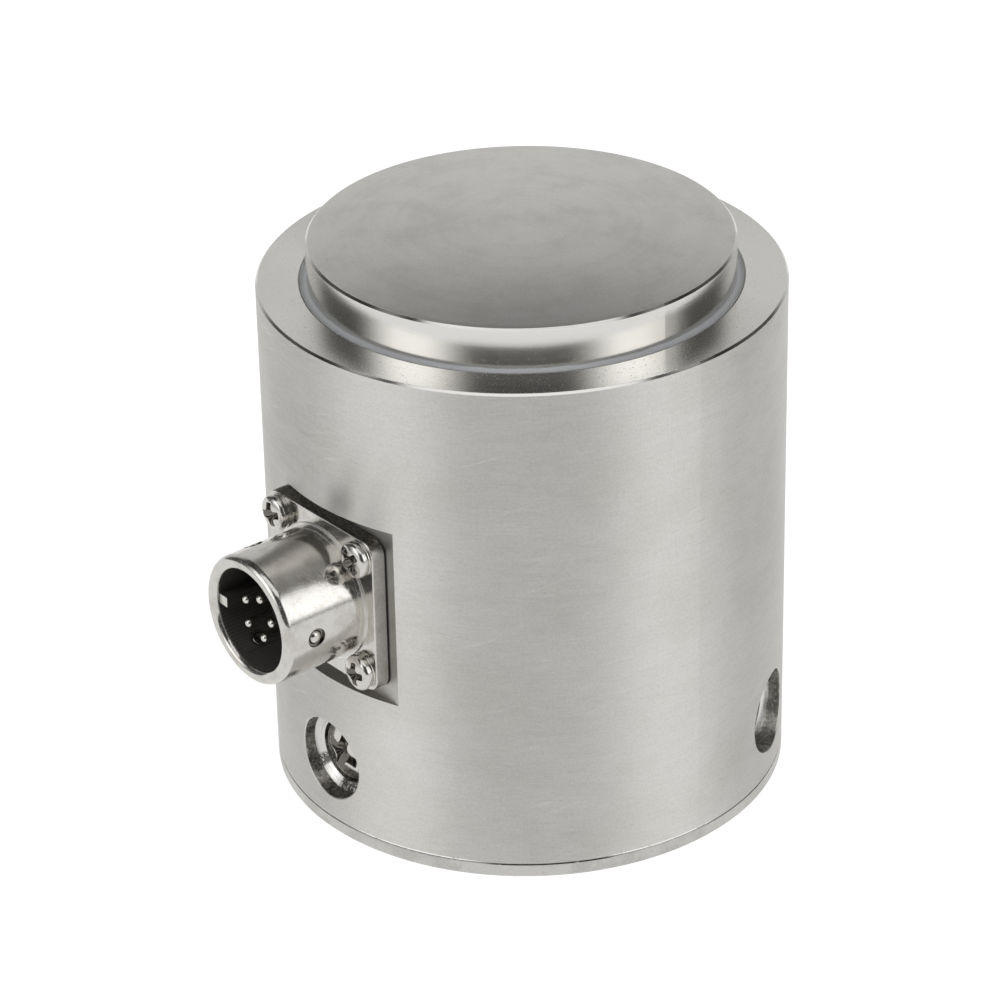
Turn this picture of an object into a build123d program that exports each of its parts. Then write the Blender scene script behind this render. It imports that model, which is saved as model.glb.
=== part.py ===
from build123d import *
import os
from math import cos, radians, sin, sqrt

# A canister compression load cell, in millimetres.
# Origin: centre of the base face, on the axis. +Z runs up the axis and the socket points along -Y.

os.makedirs("parts", exist_ok=True)

# Sleeve and base
outer_radius = 42.5
sleeve_wall = 7.1
sleeve_height = 84.8
sleeve_rim_chamfer = 0.35
sleeve_bore_chamfer = 0.3
sleeve_foot_chamfer = 0.12
base_lip_height = 2.5
base_lip_chamfer = 0.15
base_edge_chamfer = 0.4
spigot_clearance = 0.05
spigot_height = 21.5

# Loading cap
cap_gap = 1.1
cap_reach_in = 11.5
cap_side_above_sleeve = 6.5
cap_edge_break = 0.35
dome_rise = 2.5

# Column and its four gauge flats
column_radius = 18.0
column_root_fillet = 5.0
gauge_flat_depth = 1.9
gauge_flat_end_margin = 1.5
gauge_first_angle = 45

# Seals
o_ring_groove_depth = 1.9
o_ring_groove_width = 2.6
o_ring_height_above_lip = 3.6
bead_depth = 3.3
bead_climb = 0.2

# Radial screws that hold the sleeve to the base
sleeve_screw_count = 3
sleeve_screw_height = 13.55
sleeve_screw_radius = 3.0
sleeve_screw_hole_clearance = 0.3
sleeve_screw_tap_margin = 1.0
sleeve_screw_head_radius = 5.25
sleeve_screw_head_height = 2.0
sleeve_screw_head_round = 1.0
sleeve_screw_dome_radius = 13.0
sleeve_screw_length = 14.0
sleeve_screw_recess_span = 7.0
sleeve_screw_recess_width = 1.9
sleeve_screw_recess_depth = 1.4
sleeve_screw_turns = (75, 20, 50)
seat_clearance = 0.2
seat_depth = 4.6
well_step = 1.6
well_depth = 2.65
well_cone_depth = 0.8
well_edge_round = 0.25

# Milled flat that carries the socket
port_height = 45.0
pocket_depth = 2.9
pocket_margin = 2.2

# Socket shell
gasket_thickness = 0.25
gasket_inset = 0.1
flange_thickness = 2.35
flange_corner_radius = 2.5
flange_edge_round = 0.25
mouth_radius = 8.5
mouth_round = 1.0
barrel_wall = 2.35
barrel_length = 15.0
barrel_rim_round = 1.2
collar_step = 0.55
collar_height = 0.3
rear_barrel_wall = 1.1
rear_barrel_length = 5.5
rear_shoulder_width = 0.5
rear_shoulder_length = 1.0
port_hole_clearance = 0.2
key_width = 1.7
key_height = 2.1
key_setback = 1.0
key_angle = 178.0

# Bayonet studs
stud_count = 3
stud_first_angle = -2.0
stud_from_mouth = 5.6
stud_radius = 1.2
stud_dome_height = 0.12
stud_dome_round = 1.0
stud_spot_radius = 1.65
stud_spot_depth = 0.45

# Contacts and their moulding
pin_count = 5
pin_circle_radius = 3.54
pin_first_angle = 77.4
pin_radius = 0.75
pin_tip_round = 0.65
pin_setback = 1.8
pin_tail_length = 2.5
insert_front_depth = 10.2
insert_clearance = 0.03

# Small screws of the flange
flange_screw_radius = 1.5
flange_screw_hole_clearance = 0.2
flange_screw_edge_distance = 3.2
flange_screw_head_radius = 3.0
flange_screw_head_height = 1.5
flange_screw_head_round = 0.8
flange_screw_dome_radius = 6.0
flange_screw_length = 8.0
flange_screw_recess_span = 4.0
flange_screw_recess_width = 1.2
flange_screw_recess_depth = 1.1
flange_screw_turns = (13, 40, 25, 4)
flat_washer_radius = 2.95
flat_washer_thickness = 0.35
flat_washer_gap = 0.075
spring_washer_radius = 2.75
spring_washer_thickness = 0.5
spring_washer_split = 0.5
spring_washer_split_angles = (200, 215, 190, 240)
thread_clearance = 0.05

# Cross recess of both screw kinds, as shares of its span, and the taper of its middle
recess_foot_share = 0.35
recess_middle_share = 0.24
recess_taper = 20

# Gauges, board and wiring
gauge_height = 12.0
gauge_width = 8.0
gauge_thickness = 0.15
board_width = 7.0
board_thickness = 1.6
pad_thickness = 0.5
pad_margin = 0.8
resistor_length = 3.2
resistor_width = 1.6
resistor_height = 0.6
resistor_lead_angle = 25
gauge_lead_width = 2.4
gauge_lead_thickness = 0.6
gauge_lead_bend_radius = 1.5
gauge_lead_slope_drop = 2.0
wire_radius = 0.45
wire_bend_radius = 1.4
wire_row_gap = 1.8
wire_row_inset = 1.0

# Radii and heights that follow from the sizes above
bore_radius = outer_radius - sleeve_wall
spigot_radius = bore_radius - spigot_clearance
cap_radius = bore_radius - cap_gap
cap_rim_radius = cap_radius - cap_edge_break
sleeve_top = base_lip_height + sleeve_height
spigot_top = base_lip_height + spigot_height
cap_bottom = sleeve_top - cap_reach_in
cap_side_top = sleeve_top + cap_side_above_sleeve
dome_rim_height = cap_side_top + cap_edge_break
apex_height = dome_rim_height + dome_rise
groove_radius = spigot_radius - o_ring_groove_depth
o_ring_centre_height = base_lip_height + o_ring_height_above_lip
flat_distance = column_radius - gauge_flat_depth
flat_bottom = spigot_top + column_root_fillet + gauge_flat_end_margin
flat_top = cap_bottom - column_root_fillet - gauge_flat_end_margin
gauge_centre_height = (flat_bottom + flat_top) / 2
seat_radius = sleeve_screw_head_radius + seat_clearance
well_radius = seat_radius + well_step
board_middle_radius = (column_radius + column_root_fillet + bore_radius) / 2
board_inner_radius = board_middle_radius - board_width / 2
board_outer_radius = board_middle_radius + board_width / 2
board_bottom = spigot_top + pad_thickness
board_top = board_bottom + board_thickness

# The flange screws stand just outside the collar, and the flange and its pocket are as wide as they need
barrel_radius = mouth_radius + barrel_wall
collar_radius = barrel_radius + collar_step
rear_barrel_radius = mouth_radius + rear_barrel_wall
port_hole_radius = rear_barrel_radius + port_hole_clearance
flange_screw_spacing = sqrt(2) * (collar_radius + flat_washer_gap + flat_washer_radius)
flange_width = flange_screw_spacing + 2 * flange_screw_edge_distance
pocket_height = flange_width + 2 * pocket_margin

# Distances along the socket's axis, measured from the cell's axis
pocket_floor = outer_radius - pocket_depth
flange_back = pocket_floor + gasket_thickness
flange_front = flange_back + flange_thickness
mouth_distance = flange_front + barrel_length
rear_end = flange_back - rear_barrel_length
stud_distance = mouth_distance - stud_from_mouth
insert_front = mouth_distance - insert_front_depth
insert_back = rear_end + rear_shoulder_length
pin_tip = mouth_distance - pin_setback
pin_back = insert_back - rear_shoulder_length - pin_tail_length
flat_washer_seat = flange_front
spring_washer_seat = flat_washer_seat + flat_washer_thickness
flange_head_seat = spring_washer_seat + spring_washer_thickness

# Distances along a radial screw's axis, measured from the cell's axis
well_floor = outer_radius - well_depth
seat_floor = outer_radius - seat_depth
tap_depth = seat_depth + sleeve_screw_length + sleeve_screw_tap_margin


def radial_plane(angle, height):
    """Plane through the cell's axis whose normal points out of the cell; angle 0 looks along -Y."""
    turn = radians(angle)
    return Plane(origin=(0, 0, height), x_dir=(cos(turn), sin(turn), 0), z_dir=(sin(turn), -cos(turn), 0))


port_plane = radial_plane(0, port_height)


def save(piece, label):
    """Name a finished piece and write its file."""
    piece.part.label = label
    export_step(piece.part, f"parts/{label}.step")


def round_head(head, plane, top, dome_radius, edge_round):
    """Dome the end of a screw head that lies at height top on the plane's axis, and round its edge."""
    with Locations(plane.offset(top - dome_radius)):
        Sphere(dome_radius, mode=Mode.INTERSECT)
    dome = head.faces().sort_by(Axis(plane.origin, plane.z_dir))[-1]
    fillet(dome.edges().filter_by(GeomType.CIRCLE), edge_round)


def cross_recess(plane, turn, top, span, width, depth):
    """Solid of a cross-shaped driver recess that opens at height top on the plane's axis."""
    foot = span * recess_foot_share
    low = top - depth
    with BuildPart() as recess:
        for wing in (turn, turn + 90):
            spread = Vector(plane.x_dir).rotate(Axis((0, 0, 0), plane.z_dir), wing)
            side = Plane(origin=plane.origin, x_dir=spread, z_dir=spread.cross(plane.z_dir))
            with BuildSketch(side):
                Polygon((-span / 2, top), (span / 2, top), (foot / 2, low), (-foot / 2, low), align=None)
            extrude(amount=width / 2, both=True)
        with BuildSketch(plane.offset(top)):
            Circle(span * recess_middle_share)
        extrude(amount=-depth, taper=recess_taper)
    return recess.part


with BuildPart() as sensing_element:
    with BuildSketch(Plane.XZ):
        with BuildLine():
            groove_low = o_ring_centre_height - o_ring_groove_width / 2
            groove_high = o_ring_centre_height + o_ring_groove_width / 2
            Polyline(
                (0, apex_height),
                (0, 0),
                (outer_radius - base_edge_chamfer, 0),
                (outer_radius, base_edge_chamfer),
                (outer_radius, base_lip_height - base_lip_chamfer),
                (outer_radius - base_lip_chamfer, base_lip_height),
                (spigot_radius, base_lip_height),
                (spigot_radius, groove_low),
                (groove_radius, groove_low),
                (groove_radius, groove_high),
                (spigot_radius, groove_high),
                (spigot_radius, spigot_top),
                (column_radius + column_root_fillet, spigot_top),
            )
            RadiusArc(
                (column_radius + column_root_fillet, spigot_top),
                (column_radius, spigot_top + column_root_fillet),
                column_root_fillet,
            )
            Line(
                (column_radius, spigot_top + column_root_fillet),
                (column_radius, cap_bottom - column_root_fillet),
            )
            RadiusArc(
                (column_radius, cap_bottom - column_root_fillet),
                (column_radius + column_root_fillet, cap_bottom),
                column_root_fillet,
            )
            Polyline(
                (column_radius + column_root_fillet, cap_bottom),
                (cap_radius, cap_bottom),
                (cap_radius, cap_side_top),
                (cap_rim_radius, dome_rim_height),
            )
            TangentArc((0, apex_height), (cap_rim_radius, dome_rim_height), tangent=(1, 0))
        make_face()
    revolve(axis=Axis.Z)
    for quarter in range(4):
        flat_plane = radial_plane(gauge_first_angle + 90 * quarter, gauge_centre_height)
        with BuildSketch(flat_plane.offset(flat_distance)):
            Rectangle(2 * column_radius, flat_top - flat_bottom)
        extrude(amount=gauge_flat_depth, mode=Mode.SUBTRACT)
    for index in range(sleeve_screw_count):
        screw_plane = radial_plane(360 * index / sleeve_screw_count, sleeve_screw_height)
        with BuildSketch(screw_plane.offset(outer_radius)):
            Circle(sleeve_screw_radius + thread_clearance)
        extrude(amount=-tap_depth, mode=Mode.SUBTRACT)
save(sensing_element, "sensing_element")

with BuildPart() as housing_sleeve:
    with BuildSketch(Plane.XY.offset(base_lip_height)):
        Circle(outer_radius)
        Circle(bore_radius, mode=Mode.SUBTRACT)
    extrude(amount=sleeve_height)
    top_edges = housing_sleeve.edges().group_by(Axis.Z)[-1]
    top_rings = top_edges.filter_by(GeomType.CIRCLE).sort_by(SortBy.RADIUS)
    chamfer(top_rings[-1], sleeve_rim_chamfer)
    chamfer(top_rings[0], sleeve_bore_chamfer)
    foot_edges = housing_sleeve.edges().group_by(Axis.Z)[0]
    chamfer(foot_edges.sort_by(SortBy.RADIUS)[-1], sleeve_foot_chamfer)
    for index in range(sleeve_screw_count):
        screw_plane = radial_plane(360 * index / sleeve_screw_count, sleeve_screw_height)
        with BuildSketch(screw_plane.offset(well_floor)):
            Circle(well_radius)
        extrude(amount=2 * well_depth, mode=Mode.SUBTRACT)
    plain_edges = (GeomType.CIRCLE, GeomType.LINE)
    well_mouths = housing_sleeve.edges().filter_by(lambda edge: edge.geom_type not in plain_edges)
    fillet(well_mouths, well_edge_round)
    for index in range(sleeve_screw_count):
        screw_plane = radial_plane(360 * index / sleeve_screw_count, sleeve_screw_height)
        with BuildSketch(screw_plane.offset(well_floor)):
            Circle(seat_radius)
        extrude(amount=-(seat_depth - well_depth), mode=Mode.SUBTRACT)
        with Locations(screw_plane.offset(well_floor - well_cone_depth)):
            Cone(
                seat_radius,
                well_radius,
                well_cone_depth,
                align=(Align.CENTER, Align.CENTER, Align.MIN),
                mode=Mode.SUBTRACT,
            )
        with BuildSketch(screw_plane.offset(seat_floor)):
            Circle(sleeve_screw_radius + sleeve_screw_hole_clearance)
        extrude(amount=-(seat_floor - bore_radius / 2), mode=Mode.SUBTRACT)
    with BuildSketch(port_plane.offset(pocket_floor)):
        Rectangle(2 * outer_radius, pocket_height)
    extrude(amount=2 * pocket_depth, mode=Mode.SUBTRACT)
    with BuildSketch(port_plane.offset(pocket_floor)):
        Circle(port_hole_radius)
        with GridLocations(flange_screw_spacing, flange_screw_spacing, 2, 2):
            Circle(flange_screw_radius + thread_clearance)
    extrude(amount=-pocket_floor, mode=Mode.SUBTRACT)
save(housing_sleeve, "housing_sleeve")

with BuildPart() as top_seal_bead:
    with BuildSketch(Plane.XZ):
        with BuildLine():
            bead_outer_top = (bore_radius, sleeve_top - sleeve_bore_chamfer)
            bead_inner_top = (cap_radius, sleeve_top + bead_climb)
            Polyline(
                bead_inner_top,
                (cap_radius, sleeve_top - bead_depth),
                (bore_radius, sleeve_top - bead_depth),
                bead_outer_top,
            )
            RadiusArc(bead_outer_top, bead_inner_top, 2 * cap_gap)
        make_face()
    revolve(axis=Axis.Z)
save(top_seal_bead, "top_seal_bead")

with BuildPart() as base_o_ring:
    with BuildSketch(Plane.XZ):
        with Locations(((groove_radius + bore_radius) / 2, o_ring_centre_height)):
            Circle((bore_radius - groove_radius) / 2)
    revolve(axis=Axis.Z)
save(base_o_ring, "base_o_ring")

for index in range(sleeve_screw_count):
    screw_plane = radial_plane(360 * index / sleeve_screw_count, sleeve_screw_height)
    driver_cross = cross_recess(
        screw_plane,
        sleeve_screw_turns[index],
        seat_floor + sleeve_screw_head_height,
        sleeve_screw_recess_span,
        sleeve_screw_recess_width,
        sleeve_screw_recess_depth,
    )
    with BuildPart() as housing_screw:
        with BuildSketch(screw_plane.offset(seat_floor)):
            Circle(sleeve_screw_head_radius)
        extrude(amount=sleeve_screw_head_height)
        head_top = seat_floor + sleeve_screw_head_height
        round_head(housing_screw, screw_plane, head_top, sleeve_screw_dome_radius, sleeve_screw_head_round)
        with BuildSketch(screw_plane.offset(seat_floor)):
            Circle(sleeve_screw_radius)
        extrude(amount=-sleeve_screw_length)
        add(driver_cross, mode=Mode.SUBTRACT)
    save(housing_screw, f"housing_screw_{index + 1}")

gasket_width = flange_width - 2 * gasket_inset
with BuildPart() as connector_gasket:
    with BuildSketch(port_plane.offset(pocket_floor)):
        RectangleRounded(gasket_width, gasket_width, flange_corner_radius - gasket_inset)
        Circle(port_hole_radius, mode=Mode.SUBTRACT)
        with GridLocations(flange_screw_spacing, flange_screw_spacing, 2, 2):
            Circle(flange_screw_radius + flange_screw_hole_clearance, mode=Mode.SUBTRACT)
    extrude(amount=gasket_thickness)
save(connector_gasket, "connector_gasket")

stud_angles = [stud_first_angle + 360 * index / stud_count for index in range(stud_count)]


def stud_plane(angle):
    """Plane on the socket's axis at the studs, whose normal points out of the barrel at angle."""
    turn = radians(angle)
    return Plane(
        origin=(0, -stud_distance, port_height), x_dir=(0, 1, 0), z_dir=(cos(turn), 0, sin(turn))
    )


with BuildPart() as connector_shell:
    with BuildSketch(port_plane.offset(flange_back)):
        RectangleRounded(flange_width, flange_width, flange_corner_radius)
    extrude(amount=flange_thickness)
    fillet(connector_shell.faces().sort_by(Axis.Y)[0].edges(), flange_edge_round)
    with BuildSketch(port_plane.offset(flange_back)):
        Circle(collar_radius)
    extrude(amount=flange_thickness + collar_height)
    with BuildSketch(port_plane.offset(flange_back)):
        Circle(barrel_radius)
    extrude(amount=flange_thickness + barrel_length)
    fillet(connector_shell.faces().sort_by(Axis.Y)[0].edges(), barrel_rim_round)
    with BuildSketch(port_plane.offset(flange_back)):
        Circle(rear_barrel_radius)
    extrude(amount=-rear_barrel_length)
    with BuildSketch(port_plane.offset(insert_back)):
        Circle(mouth_radius)
    extrude(amount=mouth_distance - insert_back, mode=Mode.SUBTRACT)
    mouth_edge = connector_shell.faces().sort_by(Axis.Y)[0].edges().sort_by(SortBy.RADIUS)[0]
    fillet(mouth_edge, mouth_round)
    with BuildSketch(port_plane.offset(rear_end)):
        Circle(mouth_radius - rear_shoulder_width)
    extrude(amount=rear_shoulder_length, mode=Mode.SUBTRACT)
    key_root = (mouth_radius + barrel_radius) / 2
    key_reach = key_root - (mouth_radius - key_height)
    with BuildSketch(port_plane.offset(insert_front)):
        with PolarLocations(key_root - key_reach / 2, 1, start_angle=key_angle):
            Rectangle(key_reach, key_width)
    extrude(amount=mouth_distance - key_setback - insert_front)
    for angle in stud_angles:
        with BuildSketch(stud_plane(angle).offset(barrel_radius - stud_spot_depth)):
            Circle(stud_spot_radius)
        extrude(amount=stud_spot_depth, mode=Mode.SUBTRACT)
        with BuildSketch(stud_plane(angle).offset(mouth_radius / 2)):
            Circle(stud_radius)
        extrude(amount=barrel_radius - mouth_radius / 2, mode=Mode.SUBTRACT)
    with BuildSketch(port_plane.offset(flange_back)):
        with GridLocations(flange_screw_spacing, flange_screw_spacing, 2, 2):
            Circle(flange_screw_radius + flange_screw_hole_clearance)
    extrude(amount=flange_thickness, mode=Mode.SUBTRACT)
save(connector_shell, "connector_shell")

stud_bottom = mouth_radius
stud_top = barrel_radius + stud_dome_height
for index, angle in enumerate(stud_angles):
    with BuildPart() as bayonet_stud:
        with BuildSketch(stud_plane(angle).offset(stud_bottom)):
            Circle(stud_radius)
        extrude(amount=stud_top - stud_bottom)
        dome_edge = bayonet_stud.edges().sort_by_distance((0, -stud_distance, port_height))[-1]
        fillet(dome_edge, stud_dome_round)
    save(bayonet_stud, f"bayonet_stud_{index + 1}")

with BuildPart() as connector_insert:
    with BuildSketch(port_plane.offset(insert_back)):
        Circle(mouth_radius - insert_clearance)
        with PolarLocations(pin_circle_radius, pin_count, start_angle=pin_first_angle):
            Circle(pin_radius + insert_clearance, mode=Mode.SUBTRACT)
    extrude(amount=insert_front - insert_back)
save(connector_insert, "connector_insert")

pin_angles = [pin_first_angle + 360 * index / pin_count for index in range(pin_count)]
pin_places = [
    (pin_circle_radius * cos(radians(angle)), pin_circle_radius * sin(radians(angle)))
    for angle in pin_angles
]
for index, place in enumerate(pin_places):
    with BuildPart() as contact_pin:
        with BuildSketch(port_plane.offset(pin_back)):
            with Locations(place):
                Circle(pin_radius)
        extrude(amount=pin_tip - pin_back)
        fillet(contact_pin.faces().sort_by(Axis.Y)[0].edges(), pin_tip_round)
    save(contact_pin, f"contact_pin_{index + 1}")

half_spacing = flange_screw_spacing / 2
screw_places = [
    (-half_spacing, half_spacing),
    (half_spacing, half_spacing),
    (-half_spacing, -half_spacing),
    (half_spacing, -half_spacing),
]
for index, place in enumerate(screw_places):
    place_plane = Plane(
        origin=(place[0], 0, port_height + place[1]), x_dir=port_plane.x_dir, z_dir=port_plane.z_dir
    )
    with BuildPart() as flat_washer:
        with BuildSketch(place_plane.offset(flat_washer_seat)):
            Circle(flat_washer_radius)
            Circle(flange_screw_radius + thread_clearance, mode=Mode.SUBTRACT)
        extrude(amount=flat_washer_thickness)
    save(flat_washer, f"flange_flat_washer_{index + 1}")
    with BuildPart() as spring_washer:
        with BuildSketch(place_plane.offset(spring_washer_seat)):
            Circle(spring_washer_radius)
            Circle(flange_screw_radius + thread_clearance, mode=Mode.SUBTRACT)
            split_angle = spring_washer_split_angles[index]
            with PolarLocations(spring_washer_radius / 2, 1, start_angle=split_angle):
                Rectangle(spring_washer_radius, spring_washer_split, mode=Mode.SUBTRACT)
        extrude(amount=spring_washer_thickness)
    save(spring_washer, f"flange_spring_washer_{index + 1}")
    driver_cross = cross_recess(
        place_plane,
        flange_screw_turns[index],
        flange_head_seat + flange_screw_head_height,
        flange_screw_recess_span,
        flange_screw_recess_width,
        flange_screw_recess_depth,
    )
    with BuildPart() as flange_screw:
        with BuildSketch(place_plane.offset(flange_head_seat)):
            Circle(flange_screw_head_radius)
        extrude(amount=flange_screw_head_height)
        head_top = flange_head_seat + flange_screw_head_height
        round_head(flange_screw, place_plane, head_top, flange_screw_dome_radius, flange_screw_head_round)
        with BuildSketch(place_plane.offset(flange_head_seat)):
            Circle(flange_screw_radius)
        extrude(amount=-flange_screw_length)
        add(driver_cross, mode=Mode.SUBTRACT)
    save(flange_screw, f"flange_screw_{index + 1}")

for quarter in range(4):
    gauge_angle = gauge_first_angle + 90 * quarter
    gauge_plane = radial_plane(gauge_angle, gauge_centre_height)
    with BuildPart() as strain_gauge:
        with BuildSketch(gauge_plane.offset(flat_distance)):
            Rectangle(gauge_width, gauge_height)
        extrude(amount=gauge_thickness)
    save(strain_gauge, f"strain_gauge_{quarter + 1}")

    lead_start = flat_distance + gauge_thickness + gauge_lead_thickness / 2
    lead_landing = board_inner_radius + gauge_lead_thickness
    lead_top = gauge_centre_height - gauge_height / 4
    lead_turn = flat_bottom + gauge_lead_bend_radius + gauge_lead_thickness
    lead_slope_end = lead_turn - gauge_lead_slope_drop
    out_x = gauge_plane.z_dir.X
    out_y = gauge_plane.z_dir.Y
    with BuildPart() as gauge_lead:
        with BuildLine() as lead_path:
            FilletPolyline(
                (out_x * lead_start, out_y * lead_start, lead_top),
                (out_x * lead_start, out_y * lead_start, lead_turn),
                (out_x * lead_landing, out_y * lead_landing, lead_slope_end),
                (out_x * lead_landing, out_y * lead_landing, board_top),
                radius=gauge_lead_bend_radius,
            )
        with BuildSketch(Plane(origin=lead_path.line @ 0, x_dir=gauge_plane.x_dir, z_dir=(0, 0, -1))):
            Rectangle(gauge_lead_width, gauge_lead_thickness)
        sweep(path=lead_path.line)
    save(gauge_lead, f"gauge_lead_{quarter + 1}")

with BuildPart() as board_pad:
    with BuildSketch(Plane.XY.offset(spigot_top)):
        Circle(board_outer_radius - pad_margin)
        Circle(board_inner_radius + pad_margin, mode=Mode.SUBTRACT)
    extrude(amount=pad_thickness)
save(board_pad, "board_pad")

with BuildPart() as compensation_board:
    with BuildSketch(Plane.XY.offset(board_bottom)):
        Circle(board_outer_radius)
        Circle(board_inner_radius, mode=Mode.SUBTRACT)
    extrude(amount=board_thickness)
save(compensation_board, "compensation_board")

for quarter in range(4):
    resistor_turn = gauge_first_angle + 90 * quarter + resistor_lead_angle - 90
    with BuildPart() as trim_resistor:
        with BuildSketch(Plane.XY.offset(board_top)):
            with PolarLocations(board_middle_radius, 1, start_angle=resistor_turn):
                Rectangle(resistor_width, resistor_length)
        extrude(amount=resistor_height)
    save(trim_resistor, f"trim_resistor_{quarter + 1}")

for index, place in enumerate(pin_places):
    wire_x = place[0]
    wire_z = port_height + place[1]
    rows_in = 0 if place[1] < 0 else 1
    row_distance = board_middle_radius - wire_row_inset - rows_in * wire_row_gap
    with BuildPart() as lead_wire:
        with BuildLine() as wire_path:
            FilletPolyline(
                (wire_x, -pin_back, wire_z),
                (wire_x, -row_distance, wire_z),
                (wire_x, -row_distance, board_top),
                radius=wire_bend_radius,
            )
        with BuildSketch(Plane(origin=wire_path.line @ 0, z_dir=wire_path.line % 0)):
            Circle(wire_radius)
        sweep(path=wire_path.line)
    save(lead_wire, f"lead_wire_{index + 1}")
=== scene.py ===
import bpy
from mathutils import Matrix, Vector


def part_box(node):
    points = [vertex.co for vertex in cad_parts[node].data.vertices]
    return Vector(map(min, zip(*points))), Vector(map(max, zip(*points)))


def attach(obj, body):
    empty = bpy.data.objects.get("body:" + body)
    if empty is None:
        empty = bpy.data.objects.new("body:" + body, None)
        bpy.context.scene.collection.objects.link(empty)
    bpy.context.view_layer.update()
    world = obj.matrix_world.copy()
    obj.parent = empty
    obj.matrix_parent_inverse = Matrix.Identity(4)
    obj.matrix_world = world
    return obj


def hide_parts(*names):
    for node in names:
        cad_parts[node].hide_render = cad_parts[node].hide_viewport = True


bl_info = {
    "name": "Compression Load Cell",
    "version": (1, 0, 0),
    "blender": (4, 5, 0),
    "location": "View3D > Sidebar > Load Cell",
    "description": "Finishes, small parts and studio for a canister compression load cell",
    "category": "Object",
}

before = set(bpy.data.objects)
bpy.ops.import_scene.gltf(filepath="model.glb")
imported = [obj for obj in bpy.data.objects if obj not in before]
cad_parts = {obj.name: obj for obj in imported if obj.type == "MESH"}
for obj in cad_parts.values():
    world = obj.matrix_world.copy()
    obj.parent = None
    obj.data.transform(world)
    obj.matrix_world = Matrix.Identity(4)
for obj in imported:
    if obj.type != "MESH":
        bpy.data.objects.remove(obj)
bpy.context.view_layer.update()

from math import asin, atan2, cos, degrees, pi, radians, sin, sqrt, tau

import bmesh
import bpy
from bpy.props import FloatProperty, FloatVectorProperty, IntProperty, PointerProperty
from mathutils import Matrix, Vector, noise

MM = 0.001
ROOT = "root"

# How finely the small parts are rounded
CORNER_STEPS = 5
EDGE_STEPS = 6
CROSS_COUNT = 4 * (1 + 3 * (CORNER_STEPS + 1))
PIN_COUNT = 40
ARC_COUNT = 97
BEAD_COUNT = 900
FLOOR_COUNT = 96
SHARP_ANGLE = radians(32)

# The studio: the camera's sensor in millimetres, colours, and how brightly the floor glows
SENSOR_WIDTH = 36
WHITE = (1.0, 1.0, 1.0, 1.0)
PAPER = (0.85, 0.85, 0.85, 1.0)
GLOW_IN_MIRRORS = 0.85
GLOW_TO_CAMERA = 0.75

# Places of the solids, in metres
sleeve_low, sleeve_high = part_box("housing_sleeve")
shell_low, shell_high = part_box("connector_shell")
screw_low, screw_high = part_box("housing_screw_1")
stud_low, stud_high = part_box("bayonet_stud_1")
SLEEVE_RADIUS = sleeve_high.x
SLEEVE_FOOT = sleeve_low.z
SLEEVE_TOP = sleeve_high.z
BORE_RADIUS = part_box("top_seal_bead")[1].x
GAP_WIDTH = 1.1 * MM
CAP_RADIUS = BORE_RADIUS - GAP_WIDTH
CROWN_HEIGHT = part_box("sensing_element")[1].z
PORT_HEIGHT = (shell_low.z + shell_high.z) / 2
POCKET_FLOOR = -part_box("connector_gasket")[1].y
FLANGE_FRONT = -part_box("flange_flat_washer_1")[1].y
MOUTH_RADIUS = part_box("connector_insert")[1].x
WELL_HEIGHT = (screw_low.z + screw_high.z) / 2
STUD_DISTANCE = -(stud_low.y + stud_high.y) / 2

# Sizes of the solids that no box shows, in millimetres
DOME_RISE = 2.5
EDGE_BREAK = 0.35
WELL_RADIUS = 7.05
WELL_FLOOR = 40.5
POCKET_FOOT = 26.0
POCKET_BELOW_TOP = 10.0
COLLAR_RADIUS = 11.4
COLLAR_STEP = 0.3
SPOT_FACE_REACH = 10.6
COLUMN_RADIUS = 17.0

# Where the marks of wear lie, and the painted seam shade and seam highlight, the cone's painted highlight
# and the painted reflection on the sleeve: from, to and how softly, in degrees or millimetres
SEAM_GAPES = (-49, -22, 2)
SEAM_DARKEST = (-92, -58, 6), (5, 48, 8)
SEAM_HIGHLIGHT = (-80, -53, 4), (-22, 3, 3)
CONE_TORN = (-153, -135, 3), (-98, -58, 4)
CONE_LIT = (-142, 60, 5)
REFLECTION_TURN = (-86, -79, 2.5)
REFLECTION_HEIGHT = (61.5, 65.5, 2.5)


def math_method(operation, swapped=False):
    """A method that adds a Math node for a socket and, where the operation takes two, another value."""

    def add_node(self, other=0.0):
        values = (other, self) if swapped else (self, other)
        return self.nodes.math(operation, *values)

    return add_node


class Socket:
    """A number in a node tree: Python's operators on it add Math nodes."""

    def __init__(self, nodes, output):
        self.nodes = nodes
        self.output = output

    __add__ = __radd__ = math_method("ADD")
    __sub__ = math_method("SUBTRACT")
    __rsub__ = math_method("SUBTRACT", swapped=True)
    __mul__ = __rmul__ = math_method("MULTIPLY")
    __truediv__ = math_method("DIVIDE")
    __pow__ = math_method("POWER")
    __mod__ = math_method("FLOORED_MODULO")
    __abs__ = math_method("ABSOLUTE")
    sine = math_method("SINE")
    cosine = math_method("COSINE")
    arcsine = math_method("ARCSINE")
    angle_over = math_method("ARCTAN2")
    folded = math_method("PINGPONG")
    at_least = math_method("MAXIMUM")

    def long_side(self, other):
        """The long side of a right-angled triangle whose short sides are these two."""
        return (self * self + other * other) ** 0.5

    def step(self, low, high):
        """A smooth rise from 0 at low to 1 at high, or a fall where low is the larger."""
        if low > high:
            return 1 - self.step(high, low)
        settings = {"interpolation_type": "SMOOTHSTEP"}
        return self.nodes.add("ShaderNodeMapRange", settings, value=self, from_min=low, from_max=high)

    def band(self, low, high, soft):
        """1 between low and high, and 0 outside, with edges that are soft wide on each side."""
        return self.step(low - soft, low + soft) * self.step(high + soft, high - soft)

    def either_band(self, first, second):
        return self.band(*first).at_least(self.band(*second))


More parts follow.
